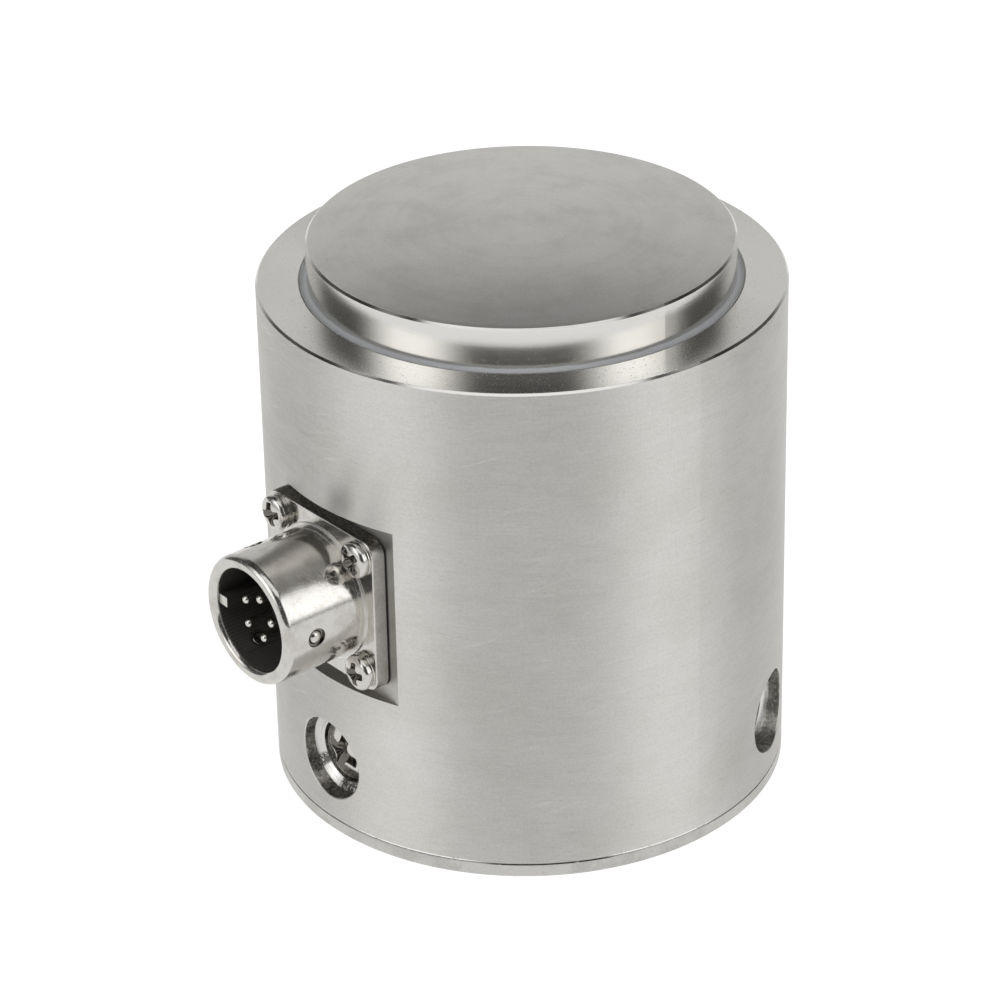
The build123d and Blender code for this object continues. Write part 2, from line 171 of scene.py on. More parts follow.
class Nodes:
    """Adds nodes to a tree."""

    def __init__(self, tree):
        self.tree = tree
        tree.nodes.clear()

    def add(self, kind, settings=None, by_number=None, result=0, **by_name):
        """Add a node, set its settings and then its sockets, and give back one of its outputs.

        In the name of a socket, underscores are spaces.
        """
        node = self.tree.nodes.new(kind)
        for name, value in (settings or {}).items():
            setattr(node, name, value)
        named = {name.replace("_", " ").title(): value for name, value in by_name.items()}
        for name, value in {**(by_number or {}), **named}.items():
            if isinstance(value, Socket):
                self.tree.links.new(value.output, node.inputs[name])
            else:
                node.inputs[name].default_value = value
        return Socket(self, node.outputs[result]) if node.outputs else None

    def math(self, operation, first, second):
        return self.add("ShaderNodeMath", {"operation": operation}, {0: first, 1: second})

    def vector(self, x, y, z):
        return self.add("ShaderNodeCombineXYZ", x=x, y=y, z=z)

    def split(self, vector):
        axes = self.add("ShaderNodeSeparateXYZ", vector=vector).output.node.outputs
        return [Socket(self, axis) for axis in axes]

    def mix(self, factor, low, high):
        """Colour that goes from low to high as factor goes from 0 to 1."""
        numbers = {0: factor, 6: color_input(low), 7: color_input(high)}
        return self.add("ShaderNodeMix", {"data_type": "RGBA"}, numbers, result=2)

    def blend(self, factor, low, high):
        """Number that goes from low to high as factor goes from 0 to 1."""
        return self.add("ShaderNodeMix", {"data_type": "FLOAT"}, {0: factor, 2: low, 3: high})

    def coated(self, color, *coats):
        """The colour under coats of (mask, colour), of which the last lies on top."""
        for mask, coat in coats:
            color = self.mix(mask, color, coat)
        return color

    def patched(self, value, *patches):
        """The number under patches of (mask, number), of which the last lies on top."""
        for mask, patch in patches:
            value = self.blend(mask, value, patch)
        return value

    def noise(self, vector, scale=1.0, detail=3.0, roughness=0.5):
        inputs = {"vector": vector, "scale": scale, "detail": detail, "roughness": roughness}
        return self.add("ShaderNodeTexNoise", **inputs)


def color_input(color):
    """A colour as a node input takes it, with its alpha where it is a plain value."""
    return color if isinstance(color, Socket) else (*color, 1.0)


class Finish(Nodes):
    """A material in the making, with the place on the piece in millimetres."""

    def __init__(self, name):
        self.material = bpy.data.materials.new(name)
        self.material.use_nodes = True
        super().__init__(self.material.node_tree)
        place = self.add("ShaderNodeTexCoord", result="Object")
        scaling = {"operation": "SCALE"}
        self.place = self.add("ShaderNodeVectorMath", scaling, vector=place, scale=1 / MM)
        self.x, self.y, self.z = self.split(self.place)
        self.radius = self.x.long_side(self.y)
        self.turn = self.y.angle_over(self.x)
        self.around = self.turn * degrees(1)

    def facing(self):
        """The three parts of the direction that the surface faces."""
        return self.split(self.add("ShaderNodeNewGeometry", result="Normal"))

    def grain(self, scale, detail=3.0, roughness=0.5):
        """Mottling that is alike in all directions."""
        return self.noise(self.place, scale, detail, roughness)

    def streaks(self, x, y, z, detail=3.0):
        """Mottling that is drawn out where x, y or z is small."""
        return self.noise(self.vector(x, y, z), detail=detail)

    def scratches(self, along, across, length, width, amount):
        """Thin lines of random length: 1 on a scratch, 0 between them."""
        streak = self.streaks(along / length, across / width, 0.0, detail=0.0)
        return streak.step(0.5 + amount, 0.54 + amount)

    def bump(self, height, depth):
        """Normal of a surface whose relief is depth millimetres at height 1."""
        return self.add("ShaderNodeBump", height=height, distance=depth * MM)

    def surface(self, **inputs):
        """Close the material with a Principled shader."""
        shader = self.add("ShaderNodeBsdfPrincipled", **inputs)
        self.add("ShaderNodeOutputMaterial", surface=shader)
        return self.material


def from_nearest_third(turn, first):
    """Angle from the nearest of three directions, of which one is at the angle first."""
    return (turn + (tau / 6 - first)) % (tau / 3) - tau / 6


def screw_wells(finish, facing):
    """Distance from the nearest well's axis, angle round it in degrees, masks of its wall and its cone."""
    aside = finish.radius * from_nearest_third(finish.turn, -pi / 2).sine()
    up = finish.z - WELL_HEIGHT / MM
    from_screw = aside.long_side(up)
    round_screw = up.angle_over(aside) * degrees(1)
    facing_out = (facing[0] * finish.x + facing[1] * finish.y) / finish.radius
    in_well = from_screw.step(WELL_RADIUS + 0.35, WELL_RADIUS + 0.25)
    wall = in_well * facing_out.step(0.75, 0.35)
    cone = in_well * facing_out.step(0.75, 0.8) * finish.radius.step(WELL_FLOOR + 0.5, WELL_FLOOR)
    return from_screw, round_screw, wall, cone


def seam_marks(finish):
    """Masks of the seam above the base: painted shade in the seam, darkest where it gapes and along some
    arcs, and a painted highlight on the edge above it, where the edge is also polished.
    """
    around = finish.around
    height = finish.z - SLEEVE_FOOT / MM
    outer = SLEEVE_RADIUS / MM
    nicks = finish.streaks(finish.turn * 30, height * 1.5, 0.0)
    darkest_arcs = around.either_band(*SEAM_DARKEST)
    # Painted shade: a thin dark line all round the seam, darkest along some arcs
    thin = height.band(-0.07, 0.06, 0.03) * (0.45 + darkest_arcs * 0.5) * nicks.step(0.36, 0.44)
    # Painted shade: a wider dark band where the seam gapes
    wide = height.band(-0.16, 0.14, 0.03) * around.band(*SEAM_GAPES) * nicks.step(0.30, 0.36)
    # Painted highlight: a bright line on the sleeve's edge above the seam
    worn_and_highlit = height.band(0.10, 0.34, 0.03) * around.either_band(*SEAM_HIGHLIGHT) * nicks.step(0.42, 0.46)
    outside = finish.radius.step(outer - 1.0, outer - 0.5)
    return thin.at_least(wide) * outside, worn_and_highlit * outside


def steel_body_finish(colors):
    """Satin steel of the sleeve: brushed side, turned top ring and bright chamfers, with painted shade and
    a painted highlight at the seam, painted shade on the well walls and in the pocket, painted highlight
    and shade on the wells' cones, and a dark painted reflection on the side.
    """
    finish = Finish("satin_steel_sleeve")
    x, y, z, radius = finish.x, finish.y, finish.z, finish.radius
    facing = finish.facing()
    top = SLEEVE_TOP / MM
    outer = SLEEVE_RADIUS / MM
    arc = finish.turn * outer

    # Parts of the sleeve
    on_top = z.step(top - 0.06, top - 0.01)
    on_rim = z.step(top - EDGE_BREAK - 0.02, top - EDGE_BREAK + 0.03) * (1 - on_top)
    on_rim = on_rim * radius.step(outer - EDGE_BREAK - 0.1, outer - EDGE_BREAK)
    on_side = radius.step(outer - 0.08, outer - 0.04) * (1 - on_rim)
    seam_shade, seam_highlight = seam_marks(finish)
    from_screw, round_screw, wall, cone = screw_wells(finish, facing)
    in_front = y.step(10, 0)
    pocket = POCKET_FLOOR / MM
    in_pocket = (y * -1).step(pocket - 0.05, pocket) * radius.step(outer - 0.03, outer - 0.1)
    in_pocket = in_pocket * z.band(POCKET_FOOT, top - POCKET_BELOW_TOP, 1.0)

    # Marks of making and wear
    brushing = finish.streaks(x * 0.25, y * 0.25, z * 5, detail=4.0)
    coarse = finish.streaks(x * 0.06, y * 0.06, z * 0.8)
    rings = finish.streaks(x * 0.05, y * 0.05, radius * 4)
    smear = finish.streaks(x * 0.7, y * 0.7, z * 3).step(0.54, 0.68)
    cutter = finish.streaks(from_screw * 5, finish.turn * 2, z * 0.1, detail=2.0)
    grain = finish.grain(6.0, detail=2.0)
    clouds = finish.grain(0.06)
    pits = finish.grain(3.2, detail=0.0).step(0.74, 0.80)
    speckle = finish.grain(2.6, roughness=0.75)
    shade_mottle = finish.grain(0.6, detail=4.0, roughness=0.65)
    crackle = finish.grain(1.7, detail=4.0, roughness=0.8)
    slant = finish.scratches(arc * 0.94 + z * 0.34, z * 0.94 - arc * 0.34, 14.0, 0.16, 0.24)
    worn_side = speckle.step(0.35, 0.70) * 0.10 + brushing.step(0.40, 0.65) * 0.04
    # Painted shade on the well walls, mottled, and deeper on the wells at the front
    wall_shade = (0.62 + shade_mottle.step(0.62, 0.40) * 0.38) * (0.82 + in_front * 0.18)
    torn = round_screw.either_band(*CONE_TORN) * in_front * crackle.step(0.43, 0.48)
    # Painted shade on the front wells' cones outside the band that keeps the painted highlight
    cone_shade = in_front * (1 - round_screw.band(*CONE_LIT))
    # A dark painted reflection on the sleeve's side, beside the flange
    painted_reflection = finish.around.band(*REFLECTION_TURN) * z.band(*REFLECTION_HEIGHT)

    color = finish.coated(
        colors.steel,
        (clouds.step(0.4, 0.65), colors.steel_warm),
        (on_side * worn_side, colors.grime_and_shade),
        # Painted highlight above the seam, and painted shade in it
        (seam_highlight, colors.worn_edge_and_highlight),
        (seam_shade, colors.grime_and_shade),
        # Painted shade on the walls of the wells
        (wall * wall_shade, colors.well_wall_shade),
        (wall * smear * 0.3, colors.steel_warm),
        (wall * crackle.step(0.55, 0.59) * 0.5, colors.worn_edge_and_highlight),
        # The cone is bright cut metal, painted brighter as a highlight, less at the front, and painted
        # shade outside its lit band
        (cone * (0.9 - in_front * 0.3), colors.worn_edge_and_highlight),
        (cone * cone_shade * 0.25, colors.grime_and_shade),
        (cone * cutter.step(0.60, 0.75) * 0.4, colors.grime_and_shade),
        (cone * torn * 0.9, colors.grime_and_shade),
        # Painted shade in the pocket, deeper on its ledges that face up and down
        (in_pocket * (0.15 + abs(facing[2]) * 0.35), colors.grime_and_shade),
        # Dark painted reflection on the sleeve's side
        (on_side * painted_reflection * 0.3, colors.grime_and_shade),
    )
    roughness = finish.patched(
        0.28 + grain * 0.2,
        (on_side, 0.38 + brushing * 0.08 + coarse * 0.06 - slant * 0.12),
        (on_top, 0.17 + rings * 0.08 + pits * 0.2),
        (on_rim, 0.05 + rings * 0.06),
        (seam_highlight, 0.12),
        (cone, 0.16 + cutter * 0.1),
    )
    height = finish.patched(
        grain * 0.4,
        (on_side, brushing * 0.5 + speckle * 0.5 - slant * 0.5),
        (on_top, rings * 0.25 + pits * 0.4),
        (cone, cutter * 1.5 - torn * 3),
    )
    return finish.surface(
        base_color=color,
        metallic=1.0,
        roughness=roughness,
        normal=finish.bump(height, 0.008),
        anisotropic=0.9,
        anisotropic_rotation=0.25,
    )


def loading_cap_finish(colors):
    """Fine-grained satin of the dome, a bright edge break and a polished cap side."""
    finish = Finish("satin_steel_cap")
    x, y, z, radius = finish.x, finish.y, finish.z, finish.radius
    dome_rim = CROWN_HEIGHT / MM - DOME_RISE
    edge_foot = dome_rim - EDGE_BREAK
    dome_radius = CAP_RADIUS / MM - EDGE_BREAK
    foot = SLEEVE_FOOT / MM
    on_dome = z.step(dome_rim - 0.05, dome_rim + 0.02)
    on_edge = z.step(edge_foot - 0.03, edge_foot + 0.02) * (1 - on_dome)
    domed = on_dome * radius.step(dome_radius - 0.1, dome_radius - 0.8)
    on_lip = z.step(foot + 1, foot)
    seam_shade = seam_marks(finish)[0]
    rings = finish.streaks(x * 0.04, y * 0.04, (radius - z) * 3)
    fine_rings = finish.streaks(x * 0.08, y * 0.08, (radius - z) * 9, detail=2.0)
    turned = finish.streaks(x * 0.03, y * 0.03, radius * 0.9)
    grain = finish.grain(3.0, detail=4.0, roughness=0.75)
    clouds = finish.grain(0.14, detail=6.0, roughness=0.65)
    # The lip at the foot is painted darker, mottled
    lip_darkening = 0.22 + clouds.step(0.42, 0.6) * 0.12 + grain.step(0.4, 0.7) * 0.12
    marks = grain.step(0.38, 0.68) * 0.10 + turned.step(0.42, 0.60) * 0.025
    marks = marks + clouds.step(0.5, 0.62) * 0.02
    color = finish.coated(
        colors.steel,
        (on_dome * clouds.step(0.42, 0.68), colors.steel_warm),
        (on_lip * lip_darkening, colors.grime_and_shade),
        (on_edge * fine_rings.step(0.40, 0.60) * 0.2, colors.grime_and_shade),
        (on_dome * marks, colors.grime_and_shade),
        # Painted shade in the seam at the cap's lip
        (on_lip * seam_shade, colors.grime_and_shade),
    )
    roughness = finish.patched(
        0.15 + rings * 0.08,
        (on_dome, 0.25 + clouds * 0.09 + turned * 0.04),
        (on_lip, 0.33),
        (on_edge, 0.06 + fine_rings * 0.08),
    )
    height = rings * 0.3 + grain * domed * 1.4 + turned * domed * 0.8
    return finish.surface(
        base_color=color,
        metallic=1.0,
        roughness=roughness,
        normal=finish.bump(height, 0.008),
        anisotropic=0.2,
    )


def socket_finish(colors, first_stud):
    """Nickel of the socket's casting, scuffed and painted dark inside the mouth, with painted shade on the
    flange's sides and in the studs' spot faces, and a painted highlight on the collar.
    """
    finish = Finish("nickel_casting")
    x, y, z = finish.x, finish.y, finish.z
    facing = finish.facing()
    up = z - PORT_HEIGHT / MM
    from_axis = x.long_side(up)
    mouth = MOUTH_RADIUS / MM
    inside = from_axis.step(mouth + 0.06, mouth + 0.02) * (1 - facing[1].step(-0.6, -0.85))
    flange_side = from_axis.step(12.0, 12.6) * (1 - abs(facing[1]).step(0.3, 0.6))
    flange_top = flange_side * facing[2].step(0.3, 0.8)
    stud_turn = from_nearest_third(up.angle_over(x), first_stud)
    from_stud = (from_axis * stud_turn.sine()).long_side(y + STUD_DISTANCE / MM)
    sunk = from_stud.step(1.75, 1.65) * from_axis.step(SPOT_FACE_REACH + 0.12, SPOT_FACE_REACH)
    front = FLANGE_FRONT / MM
    collar = from_axis.band(COLLAR_RADIUS - 0.12, COLLAR_RADIUS + 0.05, 0.04)
    collar = collar * (y * -1).band(front + 0.02, front + COLLAR_STEP + 0.05, 0.03)
    grain = finish.grain(2.0)
    dents = finish.grain(4.2, detail=1.0).step(0.60, 0.68)
    clouds = finish.grain(0.4)
    turned = finish.streaks(from_axis * 5, y * 5, 0.0, detail=2.0)
    color = finish.coated(
        colors.nickel,
        (clouds.step(0.45, 0.7), colors.nickel_warm),
        # Painted shade on the flange's sides, deepest on its top side, mottled
        ((flange_side * 0.35 + flange_top * 0.5) * (0.5 + grain), colors.grime_and_shade),
        # Painted shade in the spot faces round the studs
        (sunk * 0.8, colors.grime_and_shade),
        # The collar's step is painted bright as a highlight
        (collar, colors.worn_edge_and_highlight),
        # The inside of the mouth is painted dark
        (inside, colors.socket_inside),
    )
    roughness = finish.patched(
        0.08 + clouds * 0.08 + turned * 0.03,
        (flange_side, 0.3),
        (collar, 0.5),
        (inside, 0.34 + grain * 0.1),
    )
    return finish.surface(
        base_color=color,
        metallic=1 - inside * 0.75,
        roughness=roughness,
        normal=finish.bump(grain * 0.3 + dents * 0.6 + turned * 0.12, 0.012),
    )


def bright_metal_finish(name, color, colors, roughness):
    """Plated metal of a small part, with fine handling marks and painted shade in its driver recess."""
    finish = Finish(name)
    grain = finish.grain(5.0)
    marks = finish.grain(1.3, detail=2.0).step(0.55, 0.7)
    recess = finish.add("ShaderNodeAttribute", {"attribute_name": "recess"}, result="Fac")
    return finish.surface(
        base_color=finish.coated(
            # Painted shade in the driver recess
            color, (marks, colors.nickel_warm), (recess.step(0.1, 0.9) * 0.85, colors.grime_and_shade)
        ),
        metallic=1.0,
        roughness=roughness + grain * 0.12 + marks * 0.1,
        normal=finish.bump(grain, 0.005),
    )


def soft_finish(name, color, shade, roughness, depth=0.01):
    """Rubber, moulding, sealant or another non-metal, with a mottled grain."""
    finish = Finish(name)
    grain = finish.grain(3.0)
    return finish.surface(
        base_color=finish.mix(grain.step(0.35, 0.65), color, shade),
        roughness=roughness + grain * 0.12,
        normal=finish.bump(grain, depth),
    )


def gauge_foil_finish(colors):
    """Amber film with the grid of the gauge's foil on it."""
    finish = Finish("gauge_foil")
    low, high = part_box("strain_gauge_1")
    across = (finish.turn * COLUMN_RADIUS).folded(0.35)
    height = finish.z - (low.z + high.z) / 2 / MM
    grid = across.step(0.15, 0.2) * abs(height).step(4.2, 4.0)
    return finish.surface(
        base_color=finish.mix(grid, colors.gauge_film, colors.gauge_foil),
        metallic=grid * 0.9,
        roughness=0.4 - grid * 0.1,
        normal=finish.bump(grid, 0.01),
    )


def board_finish(colors):
    """Green laminate with ring-shaped copper tracks under the lacquer."""
    finish = Finish("board_laminate")
    weave = finish.grain(2.0, detail=2.0)
    track = finish.radius.folded(0.6).step(0.38, 0.42)
    return finish.surface(
        base_color=finish.mix(track, colors.board, colors.board_track),
        roughness=0.35 + weave * 0.1,
        normal=finish.bump(track + weave * 0.2, 0.02),
    )


def shown_object(name, data):
    thing = bpy.data.objects.new(name, data)
    bpy.context.scene.collection.objects.link(thing)
    return thing


class PieceTree(Nodes):
    """A Geometry Nodes tree with named inputs, which is run once to give a plain mesh."""

    SOCKET_KINDS = {
        int: "NodeSocketInt",
        float: "NodeSocketFloat",
        bpy.types.Object: "NodeSocketObject",
        bpy.types.Material: "NodeSocketMaterial",
    }

    def __init__(self, name, inputs):
        super().__init__(bpy.data.node_groups.new(name, "GeometryNodeTree"))
        interface = self.tree.interface
        interface.new_socket("Geometry", in_out="INPUT", socket_type="NodeSocketGeometry")
        interface.new_socket("Geometry", in_out="OUTPUT", socket_type="NodeSocketGeometry")
        self.values = {}
        for label, value in inputs.items():
            kind = self.SOCKET_KINDS[type(value)]
            socket = interface.new_socket(label, in_out="INPUT", socket_type=kind)
            self.values[socket.identifier] = value
        entry = self.add("NodeGroupInput").output.node
        self.inputs = {socket.name: Socket(self, socket) for socket in entry.outputs if socket.name}

    def copies(self, points, rotation):
        """The tree's piece at each point, turned by rotation."""
        shape = self.add("GeometryNodeObjectInfo", result="Geometry", object=self.inputs["Piece"])
        return self.add("GeometryNodeInstanceOnPoints", points=points, instance=shape, rotation=rotation)

    def euler(self, x, y, z):
        return self.add("FunctionNodeEulerToRotation", euler=self.vector(x, y, z))

    def attribute(self, name):
        return self.add("GeometryNodeInputNamedAttribute", {"data_type": "FLOAT"}, name=name)

    def run(self, geometry, start=None):
        """End the tree with the geometry, made plain and in its material, and run it on a start mesh."""
        real = self.add("GeometryNodeRealizeInstances", geometry=geometry)
        material = self.inputs["Material"]
        finished = self.add("GeometryNodeSetMaterial", geometry=real, material=material)
        self.add("NodeGroupOutput", geometry=finished)
        name = self.tree.name
        carrier = shown_object(name + "_carrier", start or bpy.data.meshes.new(name + "_start"))
        modifier = carrier.modifiers.new(name, "NODES")
        modifier.node_group = self.tree
        for identifier, value in self.values.items():
            modifier[identifier] = value
        evaluated = carrier.evaluated_get(bpy.context.evaluated_depsgraph_get())
        result = bpy.data.meshes.new_from_object(evaluated)
        bpy.data.objects.remove(carrier)
        result.name = name
        result.set_sharp_from_angle(angle=SHARP_ANGLE)
        return result


def mesh_from_form(name, form):
    bmesh.ops.recalc_face_normals(form, faces=form.faces)
    mesh = bpy.data.meshes.new(name)
    form.to_mesh(mesh)
    form.free()
    mesh.shade_smooth()
    mesh.set_sharp_from_angle(angle=SHARP_ANGLE)
    return mesh


def join_loops(form, loops, ring=False, recess_from=None):
    """Faces between loops of as many points. The ends get a fan, or meet each other in a ring."""
    recess = form.verts.layers.float.new("recess")
    rows = [[form.verts.new(point) for point in loop] for loop in loops]
    for row in rows[recess_from:] if recess_from else ():
        for vert in row:
            vert[recess] = 1.0
    pairs = list(zip(rows, rows[1:]))
    if ring:
        pairs.append((rows[-1], rows[0]))
    for lower, upper in pairs:
        for index in range(len(lower)):
            after = (index + 1) % len(lower)
            form.faces.new((lower[index], lower[after], upper[after], upper[index]))
    for row in () if ring else (rows[0], rows[-1]):
        centre = form.verts.new(sum((vert.co for vert in row), Vector()) / len(row))
        centre[recess] = row[0][recess]
        for index in range(len(row)):
            form.faces.new((row[index], row[(index + 1) % len(row)], centre))


def circle_loop(radius, height, count):
    angles = [tau * index / count for index in range(count)]
    return [Vector((radius * cos(angle), radius * sin(angle), height)) for angle in angles]


def arc_points(radius, centre_r, centre_z, start, end, steps):
    """Points (r, z) of an arc, with angles in degrees, ends included."""
    angles = [radians(start + (end - start) * index / steps) for index in range(steps + 1)]
    return [(centre_r + radius * cos(angle), centre_z + radius * sin(angle)) for angle in angles]


def turned_mesh(name, outline, count, ring=False):
    """A solid turned about Z from an outline of (r, z) points: from its bottom to its top, or a ring."""
    form = bmesh.new()
    join_loops(form, [circle_loop(r, z, count) for r, z in outline], ring)
    return mesh_from_form(name, form)


def cross_outline(reach, half_width, corner, inner, surface, drop):
    """Outline of a four-winged recess with rounded corners, at a drop below a surface."""
    quarter = [(reach, 0.0)]
    quarter += arc_points(corner, reach - corner, half_width - corner, 0, 90, CORNER_STEPS)
    quarter += arc_points(inner, half_width + inner, half_width + inner, 270, 180, CORNER_STEPS)
    quarter += arc_points(corner, half_width - corner, reach - corner, 0, 90, CORNER_STEPS)
    points = []
    for wing in range(4):
        spin = Matrix.Rotation(wing * pi / 2, 3, "Z")
        points += [spin @ Vector((x, y, surface(sqrt(x * x + y * y)) - drop)) for x, y in quarter]
    return points


def screw_mesh(name, sizes):
    """A pan head screw along Z with its head's seat at 0, a cross recess and a threaded shank."""
    head = sizes.head_radius
    top = sizes.head_height
    edge = sizes.head_round
    half = sizes.recess_width / 2
    reach = sizes.recess_span / 2
    depth = sizes.recess_depth
    lip = sizes.recess_lip
    shank = sizes.shank_radius
    dome = sizes.dome_radius
    edge_share = (head - edge) / (dome - edge)
    edge_centre = top - dome + (dome - edge) * sqrt(1 - edge_share ** 2)
    edge_end = 90 - degrees(asin(edge_share))
    bottom_edge = edge * 0.12
    outline = [(shank, 0.0), (head - bottom_edge, 0.0), (head, bottom_edge)]
    outline += arc_points(edge, head - edge, edge_centre, 0, edge_end, EDGE_STEPS)

    def domed(radius):
        return top - dome + sqrt(dome * dome - radius * radius)

    def flat(radius):
        return top

    loops = thread_loops(shank, -sizes.length, sizes.pitch, sizes.thread_depth)
    loops += [circle_loop(r, z, CROSS_COUNT) for r, z in outline]
    corner = half * 0.45
    inner = reach * 0.28
    # On the head the recess widens into a rounded lip, and below it narrows towards its floor
    for out, drop in ((2.5, 0), (1, 0), (0.3, 0.3), (0, 1)):
        wide = lip * out
        loops.append(cross_outline(reach + wide, half + wide, corner, inner, domed, lip * drop))
    recess_from = len(loops) - 1
    for long, wide, outer, inward, drop in (
        (0.62, 0.93, 1, 0.6, 0.62),
        (0.40, 0.80, 0.8, 0.2, 0.95),
        (0.30, 0.55, 0.5, 0.1, 1),
    ):
        shape = (reach * long, half * wide, corner * outer, inner * inward, flat, depth * drop)
        loops.append(cross_outline(*shape))
    form = bmesh.new()
    join_loops(form, loops, recess_from=recess_from)
    return mesh_from_form(name, form)


def thread_loops(radius, low, pitch, depth):
    """Loops of a shank from its rounded end up to its runout, with a helical thread."""
    steps_per_turn = 6
    runout = 1.5 * pitch
    turns = int((-low - runout) / pitch)
    loops = [circle_loop(radius - 2 * depth, low, CROSS_COUNT)]
    for step in range(turns * steps_per_turn + 1):
        height = low + depth + pitch * step / steps_per_turn
        fade = min(1.0, (turns * steps_per_turn - step) / steps_per_turn)
        loop = []
        for point in circle_loop(1.0, height, CROSS_COUNT):
            phase = (step / steps_per_turn - atan2(point.y, point.x) / tau) % 1.0
            reach = radius - abs(2 * phase - 1) * depth * fade
            loop.append(Vector((point.x * reach, point.y * reach, height)))
        loops.append(loop)
    return loops


def places_mesh(name, places):
    """Points that carry where a copy stands, where it faces and how far it is turned."""
    mesh = bpy.data.meshes.new(name)
    mesh.from_pydata([place for place, facing, turn in places], [], [])
    facings = mesh.attributes.new("facing", "FLOAT", "POINT")
    turns = mesh.attributes.new("turn", "FLOAT", "POINT")
    for index, (place, facing, turn) in enumerate(places):
        facings.data[index].value = facing
        turns.data[index].value = turn
    return mesh


def placed_copies(name, piece_mesh, places, material):
    """Copies of a piece along Z, each facing out of the cell at its place and turned about its axis."""
    piece = bpy.data.objects.new(name + "_one", piece_mesh)
    tree = PieceTree(name, {"Piece": piece, "Material": material})
    base = tree.euler(pi / 2, 0.0, tree.attribute("facing"))
    spin = tree.euler(0.0, 0.0, tree.attribute("turn"))
    about_itself = {"rotation_space": "LOCAL"}
    rotation = tree.add("FunctionNodeRotateRotation", about_itself, rotation=base, rotate_by=spin)
    points = tree.add("GeometryNodeMeshToPoints", mesh=tree.inputs["Geometry"])
    mesh = tree.run(tree.copies(points, rotation), places_mesh(name + "_places", places))
    bpy.data.objects.remove(piece)
    return mesh


def ring_copies(name, piece_mesh, material, sizes, radial):
    """Copies of a piece spaced evenly on a circle round the socket's axis, along it or radial to it."""
    piece = bpy.data.objects.new(name + "_one", piece_mesh)
    tree = PieceTree(name, {"Piece": piece, "Material": material, **sizes})
    count = tree.inputs["Count"]
    reach = tree.inputs["Circle Radius"]
    angle = tree.inputs["First Angle"] + tree.add("GeometryNodeInputIndex") * tau / count
    height = angle.sine() * reach + tree.inputs["Axis Height"]
    place = tree.vector(angle.cosine() * reach, tree.inputs["Distance"] * -1, height)
    points = tree.add("GeometryNodePoints", count=count, position=place)
    rotation = tree.euler(0.0, pi / 2 - angle, 0.0) if radial else tree.euler(pi / 2, 0.0, 0.0)
    mesh = tree.run(tree.copies(points, rotation))
    bpy.data.objects.remove(piece)
    return mesh


def bead_mesh(name, sizes):
    """The ring of sealant in the gap: hollow on top, with edges that wander on cap and sleeve."""
    slow_waves = 9.0
    side_waves = 40.0
    quick_waves = 70.0
    shift = Vector((5, 0, 0))
    bottom = SLEEVE_TOP - sizes.depth
    outer_height = SLEEVE_TOP + 0.02 * MM
    loops = [[] for step in range(EDGE_STEPS + 4)]
    for index in range(BEAD_COUNT):
        angle = tau * index / BEAD_COUNT
        away = Vector((cos(angle), sin(angle), 0.0))
        slow = noise.noise(away * slow_waves)
        quick = noise.noise(away * quick_waves)
        spread = sizes.waviness * (0.35 + 0.6 * noise.noise(away * side_waves + shift))
        inner_height = SLEEVE_TOP + sizes.climb + sizes.waviness * (slow + 0.5 * quick)
        outer_radius = BORE_RADIUS + max(0.0, spread)
        section = [(CAP_RADIUS, bottom), (BORE_RADIUS, bottom), (BORE_RADIUS, SLEEVE_TOP - sizes.sink)]
        for step in range(EDGE_STEPS + 1):
            share = step / EDGE_STEPS
            hollow = sizes.sink * 0.9 * sin(pi * share)
            radius = outer_radius + (CAP_RADIUS - outer_radius) * share
            height = outer_height + (inner_height - outer_height) * share ** 1.6 - hollow
            section.append((radius, height))
        for loop, (radius, height) in zip(loops, section):
            loop.append(away * radius + Vector((0, 0, height)))
    form = bmesh.new()
    join_loops(form, loops, ring=True)
    return mesh_from_form(name, form)


def flat_washer_mesh(name, outer, inner, thickness, edge):
    """A plain washer on Z = 0 with rounded edges."""
    corners = ((inner, 0, 180), (outer, 0, 270), (outer, thickness, 0), (inner, thickness, 90))
    outline = []
    for radius, height, first in corners:
        centre_r = radius + edge if radius == inner else radius - edge
        centre_z = height + edge if height == 0 else height - edge
        outline += arc_points(edge, centre_r, centre_z, first, first + 90, 2)
    return turned_mesh(name, outline, CROSS_COUNT, ring=True)


def split_washer_mesh(name, sizes, material):
    """A split washer on Z = 0: a rounded rectangle swept along an arc, which leaves the split open."""
    tree = PieceTree(name, {**sizes, "Material": material})
    outer = tree.inputs["Outer Radius"]
    inner = tree.inputs["Inner Radius"]
    thickness = tree.inputs["Thickness"]
    middle = (outer + inner) / 2
    gap = tree.inputs["Split"] / middle
    arc = tree.add(
        "GeometryNodeCurveArc",
        {"mode": "RADIUS"},
        resolution=ARC_COUNT,
        radius=middle,
        start_angle=gap / 2,
        sweep_angle=tau - gap,
    )
    section = tree.add("GeometryNodeCurvePrimitiveQuadrilateral", width=outer - inner, height=thickness)
    edge = tree.inputs["Edge Round"]
    rounded = tree.add("GeometryNodeFilletCurve", {"mode": "POLY"}, curve=section, count=3, radius=edge)
    swept = tree.add("GeometryNodeCurveToMesh", curve=arc, profile_curve=rounded, fill_caps=True)
    lift = tree.vector(0.0, 0.0, thickness / 2)
    return tree.run(tree.add("GeometryNodeTransform", geometry=swept, translation=lift))


def numbered(node, count):
    return [f"{node}_{index + 1}" for index in range(count)]


def assign(node_name, material):
    """Give a carried-over CAD node its material."""
    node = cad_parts[node_name]
    node.data.materials.clear()
    node.data.materials.append(material)


def new_piece(name, mesh, material, slot, *nodes):
    """Show a finished mesh in the place of CAD nodes."""
    piece = shown_object(name, mesh)
    mesh.materials.clear()
    mesh.materials.append(material)
    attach(piece, ROOT)
    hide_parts(*nodes)


def length(name, description, millimetres):
    return FloatProperty(
        name=name, description=description, default=millimetres * MM, unit="LENGTH", precision=5
    )


